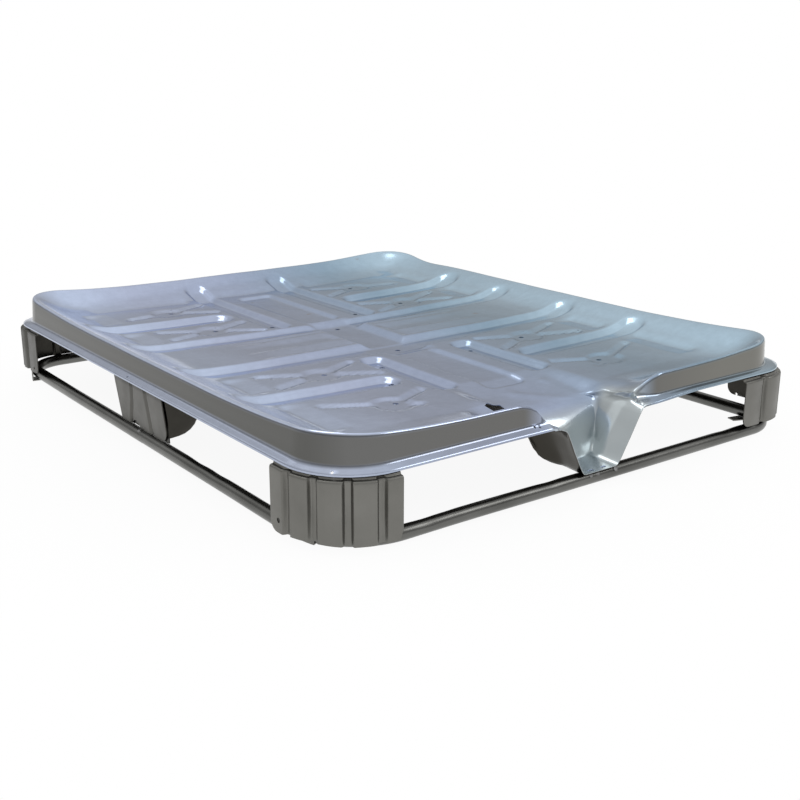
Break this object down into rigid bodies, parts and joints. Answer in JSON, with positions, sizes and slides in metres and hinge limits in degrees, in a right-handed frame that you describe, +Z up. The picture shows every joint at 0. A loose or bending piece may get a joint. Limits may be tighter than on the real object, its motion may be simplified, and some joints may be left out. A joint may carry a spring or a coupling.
{
  "type": "steel container pallet",
  "caption": "Pressed steel pallet with a channelled deck tray, drain trough, corrugated corner feet, middle feet and a tubular skid ring, for a bulk liquid container.",
  "frame": {"origin": "middle of the footprint on the floor", "axes": "+X right along the spout side, +Y towards the back, +Z up; the spout is at -Y"},
  "size_m": [1, 1.2, 0.1688],
  "materials": {
    "galvanised_sheet": "bluish galvanised sheet with a soft satin shine",
    "galvanised_tube": "grey galvanised tube, slightly scratched",
    "foot_sheet": "dull warm grey galvanised sheet with a few stains",
    "weld_bead": "bright rough weld bead"
  },
  "bodies": {
    "root": {"deck": "galvanised_sheet", "skid_ring": "galvanised_tube", "corner_foot_front_left": "foot_sheet", "corner_foot_front_right": "foot_sheet", "corner_foot_back_left": "foot_sheet", "corner_foot_back_right": "foot_sheet", "foot_strap_front_left": "foot_sheet", "foot_strap_front_right": "foot_sheet", "foot_strap_back_left": "foot_sheet", "foot_strap_back_right": "foot_sheet", "mid_foot_left": "foot_sheet", "mid_foot_right": "foot_sheet", "mid_foot_back": "foot_sheet", "foot_cup_left": "foot_sheet", "foot_cup_right": "foot_sheet", "foot_cup_back": "foot_sheet", "tongue_weld_left": "weld_bead", "tongue_weld_middle": "weld_bead", "tongue_weld_right": "weld_bead", "mid_foot_weld_left": "weld_bead", "mid_foot_weld_right": "weld_bead", "mid_foot_weld_back": "weld_bead"}
  },
  "joints": []
}
